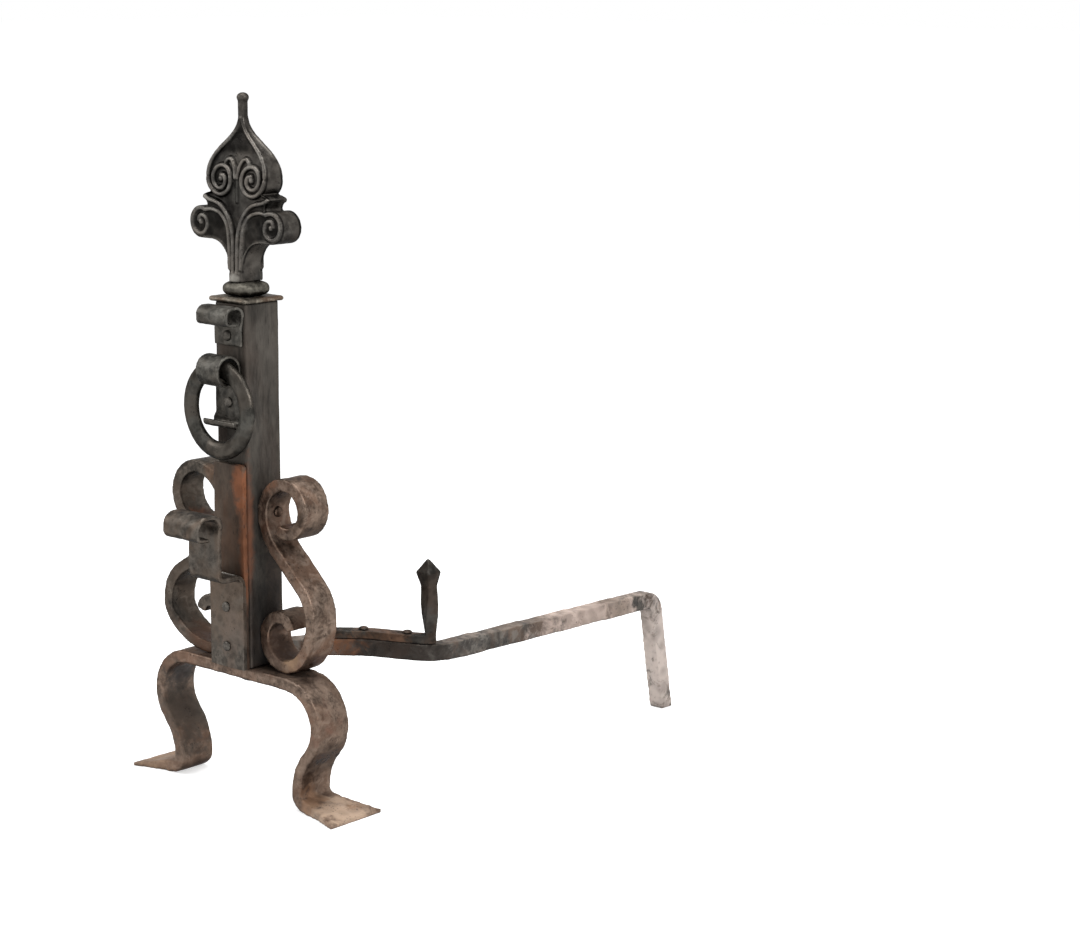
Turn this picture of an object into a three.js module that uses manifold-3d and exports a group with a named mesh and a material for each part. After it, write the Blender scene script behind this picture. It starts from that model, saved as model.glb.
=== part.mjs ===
// A forged iron andiron: square post on a bent foot arch, leaf finial, S scrolls,
// a hanging ring, two spit hooks and an offset billet bar with its own rear leg.
// Millimetres. +X is to the viewer's right, +Y runs back into the fireplace, +Z is up.
import * as THREE from 'three';
import { mergeVertices } from 'three/addons/utils/BufferGeometryUtils.js';
import Module from 'manifold-3d';

const wasm = await Module();
wasm.setup();

// ---------- driving dimensions ----------
const fitGap = 0.3;            // clearance wherever two forged pieces touch
const arcStep = 12;            // degrees of turn for each facet of a bend

// post and what stands on it
const postWidth = 42;
const postCorner = 2.5;          // rounding of the post's four edges
const postTop = 470;
const capWidth = 51;
const capThickness = 4.5;
const capCorner = 4.5;
const collarWidth = 38.3;
const collarHeight = 13;
const collarCorner = 13;
const tenonRadius = 7;         // round tenon of the finial, down into the post
const tenonDepth = 22;

// foot arch
const archTop = 126;           // height of the arch's upper face
const archWidth = 40;          // width of the flat bar, front to back
const archThickness = 12;
const archStraight = 66;       // half length of the level run
const leftSpread = 10;         // how much wider the left leg stands, as forged
const shoulderRadius = 38;     // centreline radius of the shoulder bends
const shoulderTurn = 134;      // degrees through each shoulder
const heelRadius = 11;
const footReach = 138;         // from the post's middle to the right foot's tip
const leftReach = 141;         // and to the left foot's tip
const footWidth = 67;          // width of the flared foot tip
const toeThickness = 3.5;
const postPinRadius = 9;       // round tenon under the post, peened below the arch
const postPinHead = 15;

// S scrolls
const scrollWidth = 30;
const scrollThickness = 11.5;
const scrollBackY = 20;
const scrollForms = {          // the pair was forged by eye, so the left one is larger
  right: { top: 311, reach: 95, belly: 180, inner: 30, outer: 23 },
  left: { top: 313, reach: 116, belly: 170, inner: 39, outer: 28 },
};
const waistRadius = 45;
const bellyRadius = 40;
const lowerCurlRadius = 25;
const lowerCurlInner = 22;
const lowerCurlEnd = 13;

// straps on the front of the post
const strapWidth = 36;
const strapThickness = 2.8;
const upperHookWidth = 41;
const upperHookTop = 468.3;
const upperHookBend = 7.4;     // centreline radius of the rolled hook
const upperHookReach = 5;      // flat between the two bends of the roll
const upperHookDrop = 3.4;     // straight front of the roll, above its lip
const upperLipBend = 4;
const upperLipRun = 9;         // lip that turns back towards the post
const upperStrapBottom = 431;
const upperRivetZ = 440;
const frontStrapWidth = 40.5;
const frontStrapThickness = 5.5;
const frontStrapTop = 321;

// hanging ring and the strap that carries it
const ringOuterRadius = 47;
const ringDepth = 11.5;        // size of the ring's section, front to back
const ringBreadth = 17.5;      // size of the ring's section across the band
const ringCentreZ = 372.5;
const eyeInnerRadius = 11.9;
const eyeDrop = 1.7;           // hinge axis below the middle of the ring's band
const eyeTurn = 312;           // degrees of the eye's roll
const eyeWidth = 30;
const lipWidth = 43;
const lipBottom = 355.6;
const lipHeight = 7;
const lipReach = 13;
const ringRivetZ = 378;

// lower hook bracket
const bracketWidth = 45.5;
const bracketThickness = 4.7;
const bracketShelfZ = 216.5;   // middle of the shelf's thickness
const bracketBend = 6;
const riserWidth = 41.5;
const riserFrontY = -58.8;
const lowerHookWidth = 47.5;
const lowerHookBend = 11.2;
const lowerHookReach = 5.5;    // flat between the two bends of the roll
const lowerHookDrop = 3.2;
const lowerLipBend = 6;
const lowerLipRun = 9;
const lipTurn = 86;            // degrees through which both lips turn back
const lowerHookTop = 281.5;
const bracketRivetZ = [147.6, 185.5];

// rivets
const rivetShank = 3;
const rivetHead = 5.2;
const rivetDome = 2.6;

// billet bar and guard
const barSize = 17;
const barTop = 131;            // upper face at the rear bend
const barRise = 9;             // how much higher the bar meets the post
const barOffset = 113.4;       // how far the rear run stands to the right of the post
const barLead = 20;            // straight run behind the post
const sweepRadius = 36;
const sweepTurn = 47;          // the jog turns right in two bends, then back at the corner
const sweepRun = 46;
const crossRadius = 40;
const crossTurn = 19;
const cornerRadius = 30;
const barLength = 445;         // Y where the rear bend begins
const rearBend = 14;
const rearTurn = 80;           // the rear leg leans back by what is missing to 90
const mortiseSize = 11;
const mortiseDepth = 24;
const tongueThickness = 7.7;
const tongueWidth = 16;
const guardHeight = 81.5;
const guardFoot = 5.3;         // half widths of the guard's square section
const guardBelly = 6.7;
const guardNeck = 6;
const guardHead = 9.3;
const guardLean = 3.2;         // the guard's foot stands this much to the right of its tip
const guardSquare = 45;        // degrees by which the guard's foot is turned
const guardTwist = 45;         // degrees of twist between foot and neck

// finial
const finialTop = 660;
const finialStem = 17;         // width of the stem at the collar
const finialStemDepth = 27;
const spadeHalf = 40.5;
const spadeZ = 585;            // height of the widest point
const spadeDepth = 22.5;
const neckHalf = 3.4;
const neckZ = 637;
const neckDepth = 7.4;
const knobRadius = 5.9;
const leafTipX = 44.5;
const leafRise = 25;           // leaf tip above the volute's centre
const voluteX = 47.5;
const voluteZ = 540.5;
const voluteRadius = 15;
const ridgeRadius = 2.4;       // raised ribs and spirals of the carving
const rimInset = 2.4;          // from the spade's edge to the ridge along it
const fieldDepth = 2.4;        // how far the spade's field lies below its rim
const spiralX = 21;
const spiralZ = 582;
const spiralRadius = 16;
const spiralTurn = 620;        // degrees of each spiral on the spade
const stemRidgeX = 2.6;
const sideSpiralTurn = 480;    // degrees of each spiral on a volute
const sideSpiralStart = 118;
const finialBaseHalf = 7.2;    // rounded end of the stem's front ridges
const finialBaseHeight = 8;

// ---------- values that follow ----------
const postHalf = postWidth / 2;
const postBottom = archTop + fitGap;
const postFrontY = -postHalf;
const capBottom = postTop + fitGap;
const capTop = capBottom + capThickness;
const collarBottom = capTop + fitGap;
const collarTop = collarBottom + collarHeight;
const finialBottom = collarTop + fitGap;
const frontStrapFace = postFrontY - fitGap - frontStrapThickness;
const strapMidY = postFrontY - fitGap - strapThickness / 2;
const eyeMidRadius = eyeInnerRadius + strapThickness / 2;
const eyeY = strapMidY - eyeMidRadius;
const ringBandRadius = ringOuterRadius - ringBreadth / 2;
const eyeZ = ringCentreZ + ringBandRadius - eyeDrop;
const barHalf = barSize / 2;
const leafTipZ = voluteZ + leafRise;
const degree = Math.PI / 180;

// ---------- helpers ----------
function toSolid(geometry) {
  const bare = geometry.index ? geometry.toNonIndexed() : geometry.clone();
  for (const name of Object.keys(bare.attributes)) {
    if (name !== 'position') bare.deleteAttribute(name);
  }
  const merged = mergeVertices(bare, 1e-4);
  return new wasm.Manifold(new wasm.Mesh({
    numProp: 3,
    vertProperties: new Float32Array(merged.attributes.position.array),
    triVerts: new Uint32Array(merged.index.array),
  }));
}

function toGeometry(solid) {
  const mesh = solid.getMesh();
  const points = new Float32Array((mesh.vertProperties.length / mesh.numProp) * 3);
  for (let i = 0; i < points.length / 3; i++) {
    for (let k = 0; k < 3; k++) points[3 * i + k] = mesh.vertProperties[mesh.numProp * i + k];
  }
  const geometry = new THREE.BufferGeometry();
  geometry.setAttribute('position', new THREE.BufferAttribute(points, 3));
  geometry.setIndex(new THREE.BufferAttribute(new Uint32Array(mesh.triVerts), 1));
  geometry.computeVertexNormals();
  return geometry;
}

const join = (...solids) => solids.reduce((sum, one) => sum.add(one));
const cut = (body, ...tools) => tools.reduce((rest, one) => rest.subtract(one), body);

// a pen that draws a centreline of straight runs and arcs; positive turns go left
function drawPath(start, heading, moves) {
  let [x, y] = start;
  let angle = heading * degree;
  const points = [new THREE.Vector2(x, y)];
  for (const [size, turn] of moves) {
    if (turn === undefined) {
      x += size * Math.cos(angle);
      y += size * Math.sin(angle);
      points.push(new THREE.Vector2(x, y));
      continue;
    }
    const steps = Math.max(2, Math.round(Math.abs(turn) / arcStep));
    const side = Math.sign(turn);
    const centreX = x - side * size * Math.sin(angle);
    const centreY = y + side * size * Math.cos(angle);
    for (let i = 0; i < steps; i++) {
      angle += (turn / steps) * degree;
      x = centreX + side * size * Math.sin(angle);
      y = centreY - side * size * Math.cos(angle);
      points.push(new THREE.Vector2(x, y));
    }
  }
  return points;
}

// the outline of a bar bent along a centreline; thickness may change along the way
function barOutline(points, thickness) {
  const size = typeof thickness === 'function' ? thickness : () => thickness;
  const left = [];
  const right = [];
  points.forEach((point, i) => {
    const before = points[Math.max(0, i - 1)];
    const after = points[Math.min(points.length - 1, i + 1)];
    const first = point.clone().sub(before);
    const second = after.clone().sub(point);
    const normal = new THREE.Vector2();
    for (const step of [first, second]) {
      if (step.length() > 0) normal.add(new THREE.Vector2(-step.y, step.x).normalize());
    }
    normal.normalize();
    const bend = first.length() && second.length() ? first.angle() - second.angle() : 0;
    const offset = size(i / (points.length - 1)) / 2 / Math.cos(bend / 2);
    left.push(point.clone().addScaledVector(normal, Math.abs(offset)));
    right.push(point.clone().addScaledVector(normal, -Math.abs(offset)));
  });
  return new THREE.Shape([...left, ...right.reverse()]);
}

const flat = (depth, curveSegments = 10) => ({ depth, bevelEnabled: false, curveSegments, steps: 1 });

// a shape drawn as (x, z), extruded from y0 to y1
function alongY(shape, y0, y1) {
  return toSolid(new THREE.ExtrudeGeometry(shape, flat(y1 - y0)).rotateX(Math.PI / 2).translate(0, y1, 0));
}

// a shape drawn as (y, z), extruded from x0 to x1
function alongX(shape, x0, x1) {
  const turn = new THREE.Matrix4().makeBasis(
    new THREE.Vector3(0, 1, 0), new THREE.Vector3(0, 0, 1), new THREE.Vector3(1, 0, 0));
  return toSolid(new THREE.ExtrudeGeometry(shape, flat(x1 - x0)).applyMatrix4(turn).translate(x0, 0, 0));
}

// a shape drawn as (x, y), extruded from z0 to z1
function alongZ(shape, z0, z1) {
  return toSolid(new THREE.ExtrudeGeometry(shape, flat(z1 - z0, 4)).translate(0, 0, z0));
}

function block(x0, x1, y0, y1, z0, z1) {
  const box = new THREE.BoxGeometry(x1 - x0, y1 - y0, z1 - z0);
  return toSolid(box.translate((x0 + x1) / 2, (y0 + y1) / 2, (z0 + z1) / 2));
}

function pin(radius, from, to, sides = 16) {
  const start = new THREE.Vector3(...from);
  const span = new THREE.Vector3(...to).sub(start);
  const rod = new THREE.CylinderGeometry(radius, radius, span.length(), sides);
  const spin = new THREE.Quaternion().setFromUnitVectors(new THREE.Vector3(0, 1, 0), span.clone().normalize());
  const middle = start.addScaledVector(span, 0.5);
  return toSolid(rod.applyQuaternion(spin).translate(middle.x, middle.y, middle.z));
}

function roundedRectangle(halfX, halfY, corner) {
  const shape = new THREE.Shape();
  [[1, 1], [-1, 1], [-1, -1], [1, -1]].forEach(([sx, sy], i) => {
    shape.absarc(sx * (halfX - corner), sy * (halfY - corner), corner,
      i * Math.PI / 2, (i + 1) * Math.PI / 2, false);
  });
  return shape;
}

const roundedSquare = (half, corner) => roundedRectangle(half, half, corner);

const chamferedSquare = (half, chamfer) => [[1, 1], [-1, 1], [-1, -1], [1, -1]].flatMap(([sx, sy]) => {
  const near = new THREE.Vector2(sx * half, sy * (half - chamfer));
  const far = new THREE.Vector2(sx * (half - chamfer), sy * half);
  return sx * sy > 0 ? [near, far] : [far, near];
});

// a solid skinned over rings of points, lowest first, each ring with the same count
function stackRings(rings) {
  const count = rings[0].length;
  const index = [];
  for (let level = 0; level < rings.length - 1; level++) {
    for (let i = 0; i < count; i++) {
      const a = level * count + i;
      const b = level * count + ((i + 1) % count);
      index.push(a, b, b + count, a, b + count, a + count);
    }
  }
  const topStart = (rings.length - 1) * count;
  for (let i = 1; i < count - 1; i++) {
    index.push(0, i + 1, i);
    index.push(topStart, topStart + i, topStart + i + 1);
  }
  const geometry = new THREE.BufferGeometry();
  geometry.setAttribute('position', new THREE.Float32BufferAttribute(rings.flat(2), 3));
  geometry.setIndex(index);
  return toSolid(geometry);
}

// a domed rivet: seat is the middle of the head's flat side, inward points along the shank
function rivet(seat, inward, length) {
  const profile = [new THREE.Vector2(0, -length), new THREE.Vector2(rivetShank, -length),
    new THREE.Vector2(rivetShank, 0), new THREE.Vector2(rivetHead, 0)];
  for (let i = 1; i <= 4; i++) {
    const angle = (i / 4) * Math.PI / 2;
    profile.push(new THREE.Vector2(rivetHead * Math.cos(angle) * (i < 4 ? 1 : 0), rivetDome * Math.sin(angle)));
  }
  const turned = new THREE.LatheGeometry(profile, 12);
  const outward = new THREE.Vector3(...inward).negate();
  const spin = new THREE.Quaternion().setFromUnitVectors(new THREE.Vector3(0, 1, 0), outward);
  return turned.applyQuaternion(spin).translate(...seat);
}

const shankHole = (seat, inward, length) => pin(rivetShank + fitGap, seat.map((v, i) => v - inward[i]),
  seat.map((v, i) => v + inward[i] * (length + fitGap)), 12);

// ---------- materials ----------
const iron = (color, roughness, metalness) => new THREE.MeshStandardMaterial({ color, roughness, metalness });
const blackIron = iron(0x45443f, 0.55, 0.85);
const wornIron = iron(0x5c5954, 0.5, 0.9);
const brownIron = iron(0x69594f, 0.62, 0.8);
const postIron = iron(0x4a4642, 0.6, 0.85);
const ashIron = iron(0xa39a92, 0.85, 0.35);

const andiron = new THREE.Group();
function add(name, shape, material) {
  const geometry = shape.isBufferGeometry ? shape : toGeometry(shape);
  const mesh = new THREE.Mesh(geometry, material);
  mesh.name = name;
  andiron.add(mesh);
  return mesh;
}

// ---------- rivet places ----------
const back = [0, 1, 0];
const strapSeat = postFrontY - fitGap - strapThickness - fitGap;
const bracketFace = frontStrapFace - fitGap - bracketThickness;
const upperRivet = { seat: [0, strapSeat, upperRivetZ], inward: back, length: 16 };
const ringRivet = { seat: [0, strapSeat, ringRivetZ], inward: back, length: 16 };
const bracketRivets = bracketRivetZ.map((z) => ({
  seat: [0, bracketFace - fitGap, z], inward: back, length: 22 }));
const curlCurve = 0.8;         // how far the curl's inside bends away under a rivet head
const scrollSideX = postHalf + fitGap + scrollThickness + curlCurve;
const scrollY = scrollBackY - scrollWidth / 2;
const curlStart = ({ top, inner }) => top - scrollThickness / 2 - inner;
const scrollRivets = [[-1, scrollForms.left], [1, scrollForms.right]].map(([side, form]) => ({
  seat: [side * scrollSideX, scrollY, curlStart(form)], inward: [-side, 0, 0], length: scrollThickness + 8 }));
const scrollFootX = postHalf + fitGap + scrollThickness / 2 + lowerCurlRadius;
const archBottom = archTop - archThickness;
const footRivets = [-1, 1].map((side) => ({
  seat: [side * scrollFootX, scrollY, archBottom - fitGap], inward: [0, 0, 1], length: archThickness + 7 }));
const holesFor = (list) => list.map(({ seat, inward, length }) => shankHole(seat, inward, length));

// ---------- foot arch ----------
function archSide(straight, reach) {
  const middleZ = archTop - archThickness / 2;
  const shin = shoulderTurn - 90;
  const shinTop = middleZ - shoulderRadius * (1 - Math.cos(shoulderTurn * degree));
  const shinRadius = (shinTop - heelRadius - archThickness / 2) / Math.sin(shin * degree);
  const half = drawPath([0, middleZ], 0, [
    [straight], [shoulderRadius, -shoulderTurn], [shinRadius, shin], [heelRadius, 90]]);
  const heel = half[half.length - 1];
  const shape = barOutline(half, archThickness);
  const side = alongY(shape, -archWidth / 2, archWidth / 2);
  const soleShape = new THREE.Shape();
  soleShape.moveTo(heel.x - 1, 0);
  soleShape.lineTo(reach, 0);
  soleShape.lineTo(reach, toeThickness);
  soleShape.lineTo(heel.x + 12, archThickness - 2.5);
  soleShape.lineTo(heel.x - 1, archThickness);
  const flare = new THREE.Shape();
  flare.moveTo(heel.x - 2, -archWidth / 2);
  flare.quadraticCurveTo(heel.x + 14, -archWidth / 2 - 1, reach + 1, -footWidth / 2);
  flare.lineTo(reach + 1, footWidth / 2);
  flare.quadraticCurveTo(heel.x + 14, archWidth / 2 + 1, heel.x - 2, archWidth / 2);
  const foot = alongY(soleShape, -footWidth, footWidth).intersect(alongZ(flare, -1, archThickness + 1));
  return join(side, foot);
}

function footArch() {
  const right = archSide(archStraight, footReach);
  const left = archSide(archStraight + leftSpread, leftReach).mirror([1, 0, 0]);
  const whole = join(right, left);
  const pinHole = pin(postPinRadius + fitGap, [0, 0, archBottom - 1], [0, 0, archTop + 1], 20);
  return cut(whole, pinHole, ...holesFor(footRivets));
}
add('foot_arch', footArch(), brownIron);

// ---------- post ----------
function post() {
  const body = alongZ(roundedSquare(postHalf, postCorner), postBottom, postTop);
  const foot = pin(postPinRadius, [0, 0, archBottom - 2], [0, 0, postBottom + 1], 20);
  const head = new THREE.LatheGeometry([new THREE.Vector2(0, 0), new THREE.Vector2(postPinHead, 0),
    new THREE.Vector2(postPinHead - 3, -3), new THREE.Vector2(postPinRadius, -4.5),
    new THREE.Vector2(0, -5)].reverse(), 20);
  const peened = toSolid(head.rotateX(Math.PI / 2).translate(0, 0, archBottom - fitGap));
  const socket = pin(tenonRadius + fitGap, [0, 0, postTop - tenonDepth - 1], [0, 0, postTop + 1], 20);
  const mortise = mortiseSize / 2 + fitGap;
  const mortiseZ = barTop + barRise - barHalf;
  const slot = block(-mortise, mortise, postHalf - mortiseDepth - 1, postHalf + 1,
    mortiseZ - mortise, mortiseZ + mortise);
  return cut(join(body, foot, peened), socket, slot, ...holesFor([upperRivet, ringRivet]),
    ...holesFor(bracketRivets), ...holesFor(scrollRivets));
}
add('post', post(), postIron);

// ---------- cap plate and collar ----------
function capPlate() {
  const rim = capThickness * 0.3;
  const layers = [[capBottom, rim], [capBottom + rim, 0], [capTop - rim, 0], [capTop, rim * 1.6]];
  return cut(roundedStack(capWidth / 2, capCorner, layers),
    pin(tenonRadius + fitGap, [0, 0, capBottom - 1], [0, 0, capTop + 1], 20));
}

// a rounded square swept up through layers of [z, inset]
function roundedStack(half, corner, layers) {
  return stackRings(layers.map(([z, inset]) => {
    const outline = roundedSquare(half - inset, Math.max(0.8, corner - inset)).getPoints(3);
    return outline.slice(0, -1).map(({ x, y }) => [x, y, z]);
  }));
}
add('cap_plate', capPlate(), wornIron);

function collar() {
  const bulge = collarHeight / 2;
  const layers = [];
  for (let i = 0; i <= 7; i++) {
    const angle = -Math.PI / 2 + (i / 7) * Math.PI;
    layers.push([collarBottom + bulge + bulge * Math.sin(angle), 4 * (1 - Math.cos(angle))]);
  }
  return cut(roundedStack(collarWidth / 2, collarCorner, layers),
    pin(tenonRadius + fitGap, [0, 0, collarBottom - 1], [0, 0, collarTop + 1], 20));
}
add('collar', collar(), blackIron);

// ---------- finial ----------
// half depth of the finial at a height: full at the stem, thin at the neck
function finialHalfDepth(z) {
  const belly = THREE.MathUtils.clamp((z - finialBottom) / (spadeZ - finialBottom), 0, 1);
  const taper = THREE.MathUtils.smoothstep(z, spadeZ - 8, neckZ);
  const wide = THREE.MathUtils.lerp(finialStemDepth, spadeDepth, belly);
  return THREE.MathUtils.lerp(wide, neckDepth, taper) / 2;
}

// the right half of the front outline, from the stem past volute and leaf tip to the neck
function finialFront() {
  const half = finialStem / 2;
  const shape = new THREE.Shape();
  shape.moveTo(0, finialBottom);
  shape.lineTo(half, finialBottom);
  shape.lineTo(half, finialBottom + 11);
  shape.bezierCurveTo(half + 1, voluteZ - 28, half + 8, voluteZ - voluteRadius - 1,
    voluteX - 16, voluteZ - voluteRadius);
  shape.lineTo(voluteX, voluteZ - voluteRadius);
  shape.absarc(voluteX, voluteZ, voluteRadius, -Math.PI / 2, 2.05, false);
  shape.quadraticCurveTo(leafTipX - 9, leafTipZ - 9, leafTipX, leafTipZ);
  shape.quadraticCurveTo(leafTipX - 7, leafTipZ + 4.5, leafTipX - 14, leafTipZ + 3);
  shape.bezierCurveTo(spadeHalf - 3, leafTipZ + 5, spadeHalf, spadeZ - 9, spadeHalf, spadeZ);
  shape.bezierCurveTo(...spadeFlank(0));
  shape.lineTo(neckHalf, finialTop - knobRadius);
  shape.lineTo(0, finialTop - knobRadius);
  return shape;
}

// the spade's upper flank, from its widest point to the neck, moved in by an inset
const spadeFlank = (inset) => [spadeHalf - inset, spadeZ + 25, neckHalf + 2.6 - inset * 0.4, neckZ - 22,
  Math.max(0.6, neckHalf - inset), neckZ];

// the sunk field of the spade, between its rim and the leaf
function spadeField() {
  const inset = rimInset + ridgeRadius;
  const shape = new THREE.Shape();
  shape.moveTo(0, leafTipZ - 6);
  shape.quadraticCurveTo(leafTipX / 3, leafTipZ - 1, leafTipX * 0.7, leafTipZ + 3.5 + ridgeRadius / 2);
  const half = spadeHalf - inset;
  shape.bezierCurveTo(half - 1, leafTipZ + 8, half, spadeZ - 8, half, spadeZ);
  shape.bezierCurveTo(...spadeFlank(inset));
  shape.lineTo(0, neckZ);
  return shape;
}

function finialSide(sink) {
  const steps = 11;
  const top = finialTop - knobRadius;
  const rows = [];
  for (let i = 0; i <= steps; i++) rows.push(THREE.MathUtils.lerp(finialBottom, top, i / steps));
  const reach = (z) => finialHalfDepth(z) - sink * (1 - THREE.MathUtils.smoothstep(z, neckZ - 12, neckZ));
  const right = rows.map((z) => new THREE.Vector2(reach(z), z));
  const left = rows.map((z) => new THREE.Vector2(-reach(z), z)).reverse();
  return new THREE.Shape([...right, ...left]);
}

// a raised rib that follows (x, z) points over the finial's front or back face
class FaceCurve extends THREE.Curve {
  constructor(plan, side, mirror, sink) {
    super();
    this.plan = plan;
    this.side = side;
    this.mirror = mirror;
    this.sink = sink;
  }

  getPoint(t, target = new THREE.Vector3()) {
    const [x, z] = this.plan(t);
    return target.set(this.mirror * x, this.side * (finialHalfDepth(z) - this.sink), z);
  }
}

function spiralPlan(x, z, outer, turn, startAngle) {
  return (t) => {
    const radius = THREE.MathUtils.lerp(ridgeRadius * 1.5, outer, (1 - t) ** 0.85);
    const angle = (startAngle - turn * t) * degree;
    return [x + radius * Math.cos(angle), z + radius * Math.sin(angle)];
  };
}

function ribPlan(points) {
  const curve = new THREE.SplineCurve(points.map(([x, z]) => new THREE.Vector2(x, z)));
  return (t) => curve.getPoint(t).toArray();
}

// one rib that runs on from a first plan into a second
const runOn = (first, second, share) => (t) => (t < share ? first(t / share) : second((t - share) / (1 - share)));

function rib(plan, steps, sink = 0.2, mirrors = [-1, 1]) {
  const section = new THREE.Shape();
  section.absarc(0, 0, ridgeRadius, 0, Math.PI * 2, false);
  const parts = [];
  for (const side of [-1, 1]) {
    for (const mirror of mirrors) {
      const path = new FaceCurve(plan, side, mirror, sink);
      const form = { steps, curveSegments: 3, bevelEnabled: false, extrudePath: path };
      parts.push(toSolid(new THREE.ExtrudeGeometry(section, form)));
    }
  }
  return join(...parts);
}

// rim ridge of the spade, running on into the spiral on its lower half
function rimAndSpiral() {
  const edge = new THREE.CubicBezierCurve(new THREE.Vector2(spadeHalf - rimInset, spadeZ),
    ...[0, 2, 4].map((i) => new THREE.Vector2(...spadeFlank(rimInset).slice(i, i + 2))));
  const rim = (t) => edge.getPoint(1 - t).toArray();
  return runOn(rim, spiralPlan(spiralX, spiralZ, spiralRadius, spiralTurn, 0), 0.28);
}

function finial() {
  const mirrored = (half) => join(half, half.mirror([1, 0, 0]));
  const outline = mirrored(alongY(finialFront(), -finialStemDepth, finialStemDepth));
  const body = outline.intersect(alongX(finialSide(0), -2 * voluteX, 2 * voluteX));
  const field = mirrored(alongY(spadeField(), -finialStemDepth, finialStemDepth));
  const core = alongX(finialSide(fieldDepth), -2 * voluteX, 2 * voluteX);
  const carved = join(cut(body, field), field.intersect(core));
  const knobProfile = [new THREE.Vector2(0, -knobRadius)];
  for (let i = 1; i < 7; i++) {
    const angle = -Math.PI / 2 + (i / 7) * Math.PI;
    knobProfile.push(new THREE.Vector2(knobRadius * Math.cos(angle), knobRadius * 0.8 * Math.sin(angle)));
  }
  knobProfile.push(new THREE.Vector2(0, knobRadius * 0.8));
  const knob = toSolid(new THREE.LatheGeometry(knobProfile, 14).rotateX(Math.PI / 2)
    .translate(0, 0, finialTop - knobRadius * 0.8));
  const tenon = pin(tenonRadius, [0, 0, postTop - tenonDepth], [0, 0, finialBottom + 1], 20);
  const blockHalf = finialStemDepth / 2 + ridgeRadius;
  const base = alongZ(roundedRectangle(finialBaseHalf, blockHalf, 3),
    finialBottom, finialBottom + finialBaseHeight);
  const spirals = rib(rimAndSpiral(), 28, ridgeRadius * 0.6);
  const bosses = [[spiralX, spiralZ], [voluteX, voluteZ]].flatMap(([x, z]) => [-x, x].map((side) => {
    const reach = finialHalfDepth(z) + ridgeRadius * 0.4;
    return pin(ridgeRadius * 1.3, [side, -reach, z], [side, reach, z], 8);
  }));
  const bandStart = [[finialStem / 2 - 1.5, finialBottom + finialBaseHeight + 3], [finialStem / 2, voluteZ - 18],
    [11, voluteZ - 1.5], [20, voluteZ + 9], [32, voluteZ + voluteRadius - ridgeRadius]];
  const sideSpiral = spiralPlan(voluteX, voluteZ, voluteRadius - ridgeRadius,
    sideSpiralTurn, sideSpiralStart);
  const bands = rib(runOn(ribPlan([...bandStart, sideSpiral(0)]), sideSpiral, 0.33), 22);
  const leaves = rib(ribPlan([[stemRidgeX, finialBottom + finialBaseHeight], [stemRidgeX + 0.4, voluteZ - 14],
    [6.5, voluteZ + 1], [13, voluteZ + 11], [23, leafTipZ - 6.5], [36, leafTipZ - 3.5],
    [leafTipX - 2, leafTipZ - 1]]), 9);
  const curls = rib(ribPlan([[1, spiralZ + 2], [3.5, spiralZ + 11], [9, spiralZ + 16.5], [15, spiralZ + 18],
    [18, spiralZ + 15]]), 5, fieldDepth);
  const vein = rib(ribPlan([[0, leafTipZ - 4], [0, spiralZ + 14]]), 2, fieldDepth, [1]);
  return join(carved, knob, tenon, base, spirals, ...bosses, bands, leaves, curls, vein);
}
add('finial', finial(), blackIron);

// ---------- S scrolls ----------
function scrollPath(form) {
  const inner = postHalf + fitGap + scrollThickness / 2;
  const start = [inner, curlStart(form)];
  const curl = drawPath(start, 90, [[form.inner, -90], [form.outer, -190], [form.outer * 0.6, -28]]);
  const outerX = form.reach - scrollThickness / 2;
  // the waist: two bends and a straight run that lead from the curl to the belly
  const bends = waistRadius + bellyRadius;
  const wide = outerX - inner;
  const deep = start[1] - form.belly;
  const waist = Math.atan2(wide - bends, deep) + Math.asin(bends / Math.hypot(deep, wide - bends));
  const run = (deep - bends * Math.sin(waist)) / Math.cos(waist);
  // below the belly: two bends that land on the arch and meet the lower curl
  const bow = 1 - Math.SQRT1_2;
  const drop = form.belly - (archTop + fitGap + scrollThickness / 2);
  const across = wide - lowerCurlRadius;
  const big = (drop * Math.SQRT1_2 - across * bow) / (Math.SQRT1_2 ** 2 - bow ** 2);
  const small = (across - bow * big) / Math.SQRT1_2;
  const body = drawPath(start, -90, [[waistRadius, waist / degree], [run], [bellyRadius, -waist / degree],
    [big, -45], [small, -45], [lowerCurlRadius, -90], [lowerCurlInner, -90], [lowerCurlEnd, -80]]);
  return [...curl.reverse(), ...body.slice(1)];
}

function scroll(side, form) {
  const shape = barOutline(scrollPath(form), scrollThickness);
  const right = alongY(shape, scrollBackY - scrollWidth, scrollBackY);
  const bar = side > 0 ? right : right.mirror([1, 0, 0]);
  return cut(bar, ...holesFor(scrollRivets), ...holesFor(footRivets));
}
add('scroll_left', scroll(-1, scrollForms.left), brownIron);
add('scroll_right', scroll(1, scrollForms.right), brownIron);

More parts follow.
